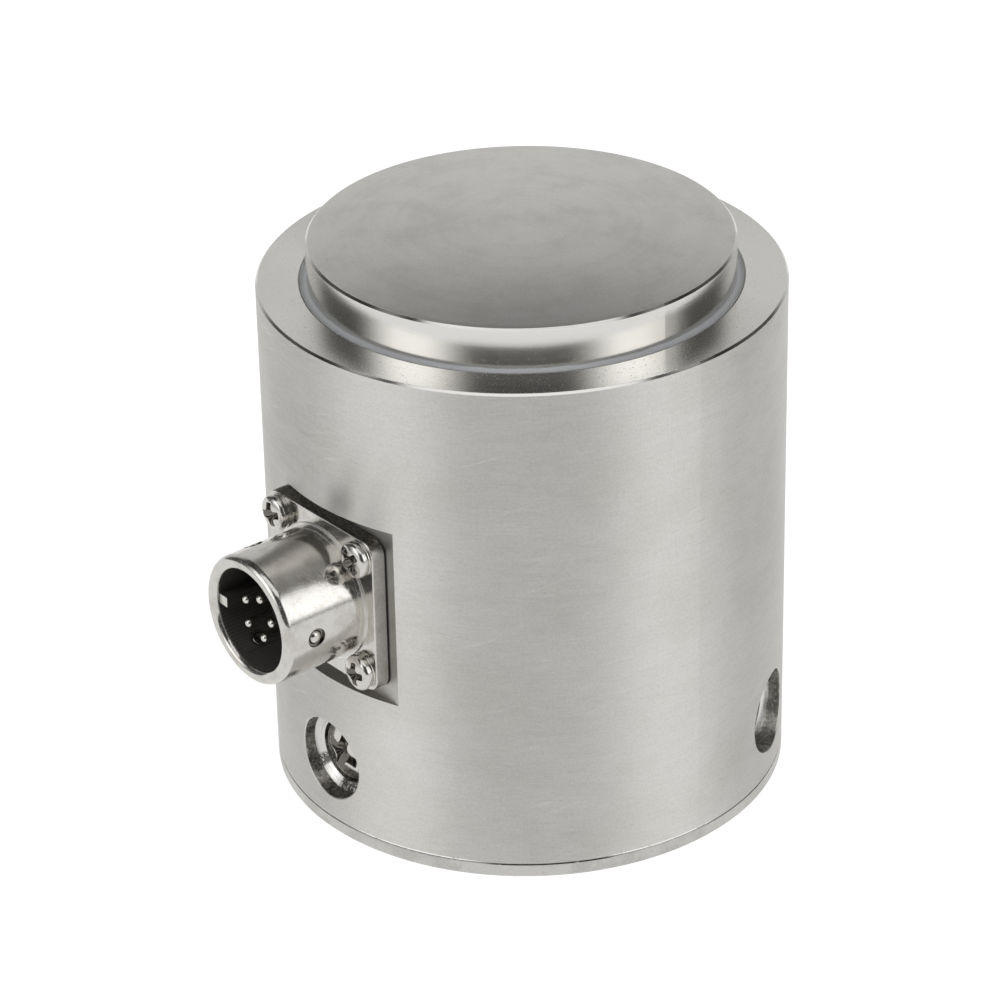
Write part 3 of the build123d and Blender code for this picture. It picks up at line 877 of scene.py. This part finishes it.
def angle(name, description, value):
    return FloatProperty(name=name, description=description, default=radians(value), subtype="ANGLE")


def turns(name, description, *values):
    values = [radians(value) for value in values]
    return FloatVectorProperty(
        name=name, description=description, default=values, size=len(values), unit="ROTATION"
    )


def tint(name, description, *levels):
    return FloatVectorProperty(name=name, description=description, default=levels, subtype="COLOR")


class StudioSettings(bpy.types.PropertyGroup):
    camera_turn: angle("Camera Turn", "Angle of the camera round the cell, from the socket's side", 50.45)
    camera_distance: length("Camera Distance", "Horizontal distance of the camera from the axis", 596.69)
    camera_height: length("Camera Height", "Height of the camera above the floor", 374.29)
    camera_pitch: angle("Camera Pitch", "Angle by which the camera looks down", 28.825)
    camera_yaw: angle("Camera Yaw", "Angle by which the camera looks past the cell's axis", -0.4063932)
    camera_roll: angle("Camera Roll", "Tilt of the camera about its own axis", -1.2123042)
    lens: FloatProperty(
        name="Lens",
        description="Focal length on a 36 mm wide sensor",
        default=149.36,
        subtype="DISTANCE_CAMERA",
    )
    floor_radius: length("Floor Radius", "Radius of the pale floor", 3000.0)


class HousingScrewSizes(bpy.types.PropertyGroup):
    head_radius: length("Head Radius", "Radius of the low pan head", 5.25)
    head_height: length("Head Height", "Height of the head over its seat", 2.0)
    head_round: length("Head Round", "Rounding of the head's edge", 1.0)
    dome_radius: length("Dome Radius", "Radius of the head's domed top", 13.0)
    recess_span: length("Recess Span", "Width over two wings of the cross recess", 7.0)
    recess_width: length("Recess Width", "Width of a wing of the recess", 1.9)
    recess_depth: length("Recess Depth", "Depth of the recess", 1.4)
    recess_lip: length("Recess Lip", "Rounding of the recess's edge", 0.12)
    shank_radius: length("Shank Radius", "Outer radius of the thread", 3.0)
    length: length("Length", "Length of the shank", 14.0)
    pitch: length("Pitch", "Pitch of the thread", 1.0)
    thread_depth: length("Thread Depth", "Depth of the thread", 0.5)
    turns: turns("Turns", "How far each screw was driven", 75, 20, 50)


class FlangeScrewSizes(bpy.types.PropertyGroup):
    head_radius: length("Head Radius", "Radius of the pan head", 3.0)
    head_height: length("Head Height", "Height of the head over its seat", 1.5)
    head_round: length("Head Round", "Rounding of the head's edge", 0.8)
    dome_radius: length("Dome Radius", "Radius of the head's domed top", 6.0)
    recess_span: length("Recess Span", "Width over two wings of the cross recess", 4.0)
    recess_width: length("Recess Width", "Width of a wing of the recess", 1.2)
    recess_depth: length("Recess Depth", "Depth of the recess", 1.1)
    recess_lip: length("Recess Lip", "Rounding of the recess's edge", 0.08)
    shank_radius: length("Shank Radius", "Outer radius of the thread", 1.5)
    length: length("Length", "Length of the shank", 8.0)
    pitch: length("Pitch", "Pitch of the thread", 0.5)
    thread_depth: length("Thread Depth", "Depth of the thread", 0.25)
    turns: turns("Turns", "How far each screw was driven", 13, 40, 25, 4)


class WasherSizes(bpy.types.PropertyGroup):
    hole_radius: length("Hole Radius", "Radius of the hole in both washers", 1.55)
    flat_radius: length("Flat Washer Radius", "Outer radius of the plain washers", 2.95)
    flat_thickness: length("Flat Washer Thickness", "Thickness of the plain washers", 0.35)
    spring_radius: length("Spring Washer Radius", "Outer radius of the split washers", 2.75)
    spring_thickness: length("Spring Washer Thickness", "Thickness of the split washers", 0.5)
    split: length("Split", "Width of the gap in a split washer", 0.5)
    edge: length("Edge Round", "Rounding of the washers' edges", 0.06)
    split_turns: turns("Split Turns", "Where the gap of each split washer lies", 200, 215, 190, 240)


class ContactSizes(bpy.types.PropertyGroup):
    count: IntProperty(name="Contacts", description="Number of contacts", default=5)
    circle_radius: length("Contact Circle", "Radius of the circle of contacts", 3.54)
    first_angle: angle("First Angle", "Angle of the first contact round the socket's axis", 77.4)
    radius: length("Contact Radius", "Radius of a contact", 0.75)
    tip_round: length("Tip Round", "Rounding of a contact's tip", 0.65)


class StudSizes(bpy.types.PropertyGroup):
    count: IntProperty(name="Studs", description="Number of bayonet studs", default=3)
    first_angle: angle("First Angle", "Angle of the first stud round the socket's axis", -2)
    radius: length("Stud Radius", "Radius of a stud", 1.2)
    dome_round: length("Dome Round", "Rounding of a stud's outer end", 1.0)
    inner_round: length("Inner Round", "Rounding of a stud's inner end", 0.15)


class BeadSizes(bpy.types.PropertyGroup):
    depth: length("Depth", "Depth of the sealant below the sleeve's top", 3.3)
    climb: length("Climb", "Height of the sealant on the cap's side over the sleeve's top", 0.2)
    sink: length("Sink", "Depth of the sealant at the bore below the sleeve's top", 0.3)
    waviness: length("Waviness", "How far the edges of the sealant wander", 0.14)


class FinishColors(bpy.types.PropertyGroup):
    steel: tint("Steel", "Satin stainless steel of the body", 0.765, 0.757, 0.728)
    steel_warm: tint("Warm Steel", "Warmer clouds in the steel", 0.735, 0.718, 0.682)
    # Bare metal on worn edges and chips, and also painted highlights on the seam's edge, the wells' cones
    # and the collar
    worn_edge_and_highlight: tint("Worn Edge", "Bare bright metal on worn edges", 0.98, 0.975, 0.96)
    # Dirt and tears, and also painted shade in seams, recesses, pocket and flange, and a dark painted
    # reflection
    grime_and_shade: tint("Grime", "Dirt in seams, recesses and tears", 0.08, 0.07, 0.06)
    # Painted shade on the walls of the screw wells
    well_wall_shade: tint("Burnt Steel", "Dark walls of the screw wells", 0.15, 0.14, 0.128)
    nickel: tint("Nickel", "Nickel of the socket", 0.66, 0.645, 0.61)
    nickel_warm: tint("Worn Nickel", "Duller patches of the nickel", 0.58, 0.56, 0.52)
    # Dark colour painted inside the socket's mouth
    socket_inside: tint("Socket Inside", "Dark finish inside the socket's mouth", 0.075, 0.072, 0.068)
    sealant: tint("Sealant", "Grey sealant between cap and sleeve", 0.55, 0.56, 0.575)
    rubber: tint("Rubber", "Black rubber of gasket and ring", 0.012, 0.012, 0.013)
    moulding: tint("Moulding", "Black moulding that holds the contacts", 0.055, 0.052, 0.05)
    contact: tint("Contact", "Plating of the contacts", 0.72, 0.70, 0.66)
    gauge_film: tint("Gauge Film", "Amber film of the strain gauges", 0.55, 0.24, 0.05)
    gauge_foil: tint("Gauge Foil", "Metal foil of the strain gauges", 0.60, 0.50, 0.38)
    board: tint("Board", "Green laminate of the board", 0.02, 0.12, 0.05)
    board_track: tint("Board Track", "Tracks under the board's lacquer", 0.05, 0.22, 0.09)
    insulator: tint("Insulator", "Amber film of the pad and the flat leads", 0.55, 0.36, 0.12)
    insulator_dark: tint("Dark Insulator", "Darker mottling of the amber film", 0.45, 0.28, 0.09)
    resistor: tint("Resistor", "Dark body of the resistors", 0.05, 0.05, 0.055)
    wire: tint("Wire", "White insulation of the wires", 0.80, 0.79, 0.76)
    wire_soiled: tint("Soiled Wire", "Handled patches of the wires' insulation", 0.70, 0.68, 0.63)


def studio_level(nodes, direction, turn):
    """Light of the studio from a direction: softboxes, dark gaps between them and a pale backdrop."""
    x, y, z = nodes.split(direction)
    right = x * cos(turn) + y * sin(turn)
    toward = x * sin(turn) - y * cos(turn)
    side = abs(right.angle_over(toward) * degrees(1))
    elevation = z.arcsine() * degrees(1)
    front_gap = side.step(34, 22) * elevation.step(50, 44)
    side_gap = side.band(68, 112, 8) * elevation.band(28, 60, 6)
    rear_gap = side.band(92, 150, 8) * elevation.band(48, 66, 5)
    backdrop = side.step(126, 146) * elevation.step(46, 30)
    side_boxes = side.band(40, 84, 16) * elevation.band(4, 44, 6)
    top_box = side.step(76, 66) * elevation.step(47, 55)
    rear_top = side.step(80, 110) * elevation.step(62, 70)
    return nodes.patched(
        side.step(150, 95) * 0.05 + 0.09,
        (front_gap, 0.09),
        (side_gap.at_least(rear_gap), 0.05),
        (backdrop, 0.82),
        (side_boxes, 2.2),
        (top_box, 1.3),
        (rear_top, 0.14),
    )


class LOADCELL_OT_stage(bpy.types.Operator):
    """Set up the floor, the studio light and the camera"""

    bl_idname = "loadcell.stage"
    bl_label = "Stage"

    def execute(self, context):
        settings = context.scene.loadcell_studio
        context.scene.view_settings.view_transform = "Standard"
        self.add_camera(context, settings)
        self.add_floor(settings)
        self.light_world(context, settings)
        return {"FINISHED"}

    def add_camera(self, context, settings):
        data = bpy.data.cameras.new("camera")
        data.lens = settings.lens
        data.sensor_width = SENSOR_WIDTH
        camera = shown_object("camera", data)
        turn = settings.camera_turn
        distance = settings.camera_distance
        place = Vector((distance * sin(turn), -distance * cos(turn), settings.camera_height))
        camera.matrix_world = (
            Matrix.Translation(place)
            @ Matrix.Rotation(turn - settings.camera_yaw, 4, "Z")
            @ Matrix.Rotation(pi / 2 - settings.camera_pitch, 4, "X")
            @ Matrix.Rotation(settings.camera_roll, 4, "Z")
        )
        context.scene.camera = camera

    def add_floor(self, settings):
        mesh = bpy.data.meshes.new("floor")
        form = bmesh.new()
        bmesh.ops.create_circle(form, cap_ends=True, segments=FLOOR_COUNT, radius=settings.floor_radius)
        form.to_mesh(mesh)
        form.free()
        mesh.materials.append(self.floor_material())
        floor = shown_object("floor", mesh)

    def floor_material(self):
        """Paper that looks white to the camera and glows in the cell's reflections."""
        material = bpy.data.materials.new("pale_floor")
        material.use_nodes = True
        nodes = Nodes(material.node_tree)
        path = nodes.add("ShaderNodeLightPath").output.node.outputs
        mirrored = Socket(nodes, path["Is Glossy Ray"]).at_least(Socket(nodes, path["Is Transmission Ray"]))
        paper = nodes.add("ShaderNodeBsdfDiffuse", color=PAPER)
        glow = nodes.add("ShaderNodeEmission", color=WHITE)
        glowing = {0: mirrored * GLOW_IN_MIRRORS, 1: paper, 2: glow}
        shader = nodes.add("ShaderNodeMixShader", by_number=glowing)
        strength = Socket(nodes, path["Is Camera Ray"]) * GLOW_TO_CAMERA
        white = nodes.add("ShaderNodeEmission", color=WHITE, strength=strength)
        shader = nodes.add("ShaderNodeAddShader", by_number={0: shader, 1: white})
        nodes.add("ShaderNodeOutputMaterial", surface=shader)
        return material

    def light_world(self, context, settings):
        world = bpy.data.worlds.new("studio")
        context.scene.world = world
        world.use_nodes = True
        nodes = Nodes(world.node_tree)
        direction = nodes.add("ShaderNodeTexCoord", result="Generated")
        level = studio_level(nodes, direction, settings.camera_turn)
        light = nodes.add("ShaderNodeBackground", strength=level)
        white = nodes.add("ShaderNodeBackground", color=WHITE)
        path = nodes.add("ShaderNodeLightPath", result="Is Camera Ray")
        shader = nodes.add("ShaderNodeMixShader", by_number={0: path, 1: light, 2: white})
        nodes.add("ShaderNodeOutputWorld", surface=shader)


class LOADCELL_OT_body(bpy.types.Operator):
    """Finish the sensing element and the sleeve"""

    bl_idname = "loadcell.body"
    bl_label = "Body"

    def execute(self, context):
        colors = context.scene.loadcell_colors
        assign("housing_sleeve", steel_body_finish(colors))
        assign("sensing_element", loading_cap_finish(colors))
        return {"FINISHED"}


class LOADCELL_OT_socket(bpy.types.Operator):
    """Finish the socket, its gasket, moulding, studs and contacts"""

    bl_idname = "loadcell.socket"
    bl_label = "Socket"

    def execute(self, context):
        scene = context.scene
        colors = scene.loadcell_colors
        rubber = soft_finish("black_rubber", colors.rubber, colors.rubber, 0.5)
        moulding = soft_finish("black_moulding", colors.moulding, colors.moulding, 0.12, 0.004)
        assign("connector_shell", socket_finish(colors, scene.loadcell_studs.first_angle))
        assign("connector_gasket", rubber)
        assign("base_o_ring", rubber)
        assign("connector_insert", moulding)
        contact = bright_metal_finish("contact_metal", colors.contact, colors, 0.12)
        self.add_contacts(scene.loadcell_contacts, contact)
        stud = bright_metal_finish("stud_nickel", colors.nickel, colors, 0.1)
        self.add_studs(scene.loadcell_studs, stud)
        return {"FINISHED"}

    def add_contacts(self, sizes, material):
        low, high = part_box("contact_pin_1")
        radius = sizes.radius
        edge = sizes.tip_round
        outline = [(radius * 0.9, 0.0), (radius, radius * 0.1)]
        outline += arc_points(edge, radius - edge, high.y - low.y - edge, 0, 84, EDGE_STEPS)
        pin = turned_mesh("contact_pin", outline, PIN_COUNT)
        place = {"Circle Radius": sizes.circle_radius, "Distance": -high.y}
        self.add_ring("contact_pin", pin, sizes, place, False, material, "contact_metal")

    def add_studs(self, sizes, material):
        radius = sizes.radius
        edge = sizes.dome_round
        inner = sizes.inner_round
        outline = arc_points(inner, radius - inner, inner, 270, 360, 3)
        outer_end = stud_high.x - MOUTH_RADIUS
        outline += arc_points(edge, radius - edge, outer_end - edge, 0, 90, EDGE_STEPS)
        stud = turned_mesh("bayonet_stud", outline, PIN_COUNT)
        place = {"Circle Radius": MOUTH_RADIUS, "Distance": STUD_DISTANCE}
        self.add_ring("bayonet_stud", stud, sizes, place, True, material, "nickel_casting")

    def add_ring(self, node, piece, sizes, place, radial, material, slot):
        """One piece for each node of that name, in a ring round the socket's axis."""
        rule = {"Count": sizes.count, "First Angle": sizes.first_angle, "Axis Height": PORT_HEIGHT}
        mesh = ring_copies(f"{node}s", piece, material, {**rule, **place}, radial)
        new_piece(f"{node}s", mesh, material, slot, *numbered(node, sizes.count))


class LOADCELL_OT_fasteners(bpy.types.Operator):
    """Make the screws and washers"""

    bl_idname = "loadcell.fasteners"
    bl_label = "Fasteners"

    def execute(self, context):
        scene = context.scene
        colors = scene.loadcell_colors
        bright = bright_metal_finish("bright_fastener", colors.nickel, colors, 0.08)
        self.add_housing_screws(scene.loadcell_housing_screws, bright)
        self.add_flange_screws(scene.loadcell_flange_screws, bright)
        self.add_washers(scene.loadcell_washers, bright)
        return {"FINISHED"}

    def add_housing_screws(self, sizes, material):
        seat = sizes.length - screw_high.y
        places = []
        for index, turn in enumerate(sizes.turns):
            facing = tau * index / len(sizes.turns)
            places.append(((seat * sin(facing), -seat * cos(facing), WELL_HEIGHT), facing, turn))
        self.add_row("housing_screw", screw_mesh("housing_screw", sizes), places, material)

    def add_flange_screws(self, sizes, material):
        screw = screw_mesh("flange_screw", sizes)
        self.add_flange_row("flange_screw", screw, "flange_spring_washer", 0, sizes.turns, material)

    def add_washers(self, sizes, material):
        flat = flat_washer_mesh(
            "flat_washer", sizes.flat_radius, sizes.hole_radius, sizes.flat_thickness, sizes.edge
        )
        no_turns = [0.0] * len(sizes.split_turns)
        self.add_flange_row("flange_flat_washer", flat, "flange_flat_washer", 1, no_turns, material)
        rule = {
            "Outer Radius": sizes.spring_radius,
            "Inner Radius": sizes.hole_radius,
            "Thickness": sizes.spring_thickness,
            "Split": sizes.split,
            "Edge Round": sizes.edge,
        }
        split = split_washer_mesh("split_washer", rule, material)
        driven = sizes.split_turns
        self.add_flange_row("flange_spring_washer", split, "flange_spring_washer", 1, driven, material)

    def add_flange_row(self, node, piece, seat_node, seat_side, turns, material):
        """One piece at each corner of the flange, seated on a side of the node below it."""
        places = []
        for index, turn in enumerate(turns):
            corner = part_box(f"{seat_node}_{index + 1}")
            middle = (corner[0] + corner[1]) / 2
            places.append(((middle.x, corner[seat_side].y, middle.z), 0.0, turn))
        self.add_row(node, piece, places, material)

    def add_row(self, node, piece, places, material):
        """One piece for each node of that name, at its own place."""
        mesh = placed_copies(f"{node}s", piece, places, material)
        new_piece(f"{node}s", mesh, material, "bright_fastener", *numbered(node, len(places)))


class LOADCELL_OT_sealant(bpy.types.Operator):
    """Lay the bead of sealant between cap and sleeve"""

    bl_idname = "loadcell.sealant"
    bl_label = "Sealant"

    def execute(self, context):
        colors = context.scene.loadcell_colors
        sealant = soft_finish("sealant", colors.sealant, colors.sealant, 0.3)
        mesh = bead_mesh("sealant_bead", context.scene.loadcell_bead)
        new_piece("sealant_bead", mesh, sealant, "sealant", "top_seal_bead")
        return {"FINISHED"}


class LOADCELL_OT_inner_parts(bpy.types.Operator):
    """Finish the gauges, the board and the wiring inside"""

    bl_idname = "loadcell.inner_parts"
    bl_label = "Inner Parts"

    def execute(self, context):
        colors = context.scene.loadcell_colors
        gauge = gauge_foil_finish(colors)
        board = board_finish(colors)
        insulator = soft_finish("insulator", colors.insulator, colors.insulator_dark, 0.45)
        resistor = soft_finish("resistor_body", colors.resistor, colors.rubber, 0.4)
        wire = soft_finish("wire_cover", colors.wire, colors.wire_soiled, 0.4)
        assign("compensation_board", board)
        assign("board_pad", insulator)
        rows = (
            ("strain_gauge", 4, gauge),
            ("gauge_lead", 4, insulator),
            ("trim_resistor", 4, resistor),
            ("lead_wire", 5, wire),
        )
        for node, count, material in rows:
            for name in numbered(node, count):
                assign(name, material)
        return {"FINISHED"}


class LOADCELL_PT_panel(bpy.types.Panel):
    bl_idname = "LOADCELL_PT_panel"
    bl_label = "Load Cell"
    bl_space_type = "VIEW_3D"
    bl_region_type = "UI"
    bl_category = "Load Cell"

    def draw(self, context):
        for operator in OPERATORS:
            self.layout.operator(operator.bl_idname)


OPERATORS = (
    LOADCELL_OT_stage,
    LOADCELL_OT_body,
    LOADCELL_OT_socket,
    LOADCELL_OT_fasteners,
    LOADCELL_OT_sealant,
    LOADCELL_OT_inner_parts,
)
SETTINGS = {
    "loadcell_studio": StudioSettings,
    "loadcell_colors": FinishColors,
    "loadcell_housing_screws": HousingScrewSizes,
    "loadcell_flange_screws": FlangeScrewSizes,
    "loadcell_washers": WasherSizes,
    "loadcell_contacts": ContactSizes,
    "loadcell_studs": StudSizes,
    "loadcell_bead": BeadSizes,
}


def register():
    for name, group in SETTINGS.items():
        bpy.utils.register_class(group)
        setattr(bpy.types.Scene, name, PointerProperty(type=group))
    for operator in OPERATORS:
        bpy.utils.register_class(operator)
    bpy.utils.register_class(LOADCELL_PT_panel)


def unregister():
    bpy.utils.unregister_class(LOADCELL_PT_panel)
    for operator in reversed(OPERATORS):
        bpy.utils.unregister_class(operator)
    for name, group in SETTINGS.items():
        delattr(bpy.types.Scene, name)
        bpy.utils.unregister_class(group)


def main():
    register()
    bpy.ops.loadcell.stage()
    bpy.ops.loadcell.body()
    bpy.ops.loadcell.socket()
    bpy.ops.loadcell.fasteners()
    bpy.ops.loadcell.sealant()
    bpy.ops.loadcell.inner_parts()


if __name__ == "__main__":
    main()
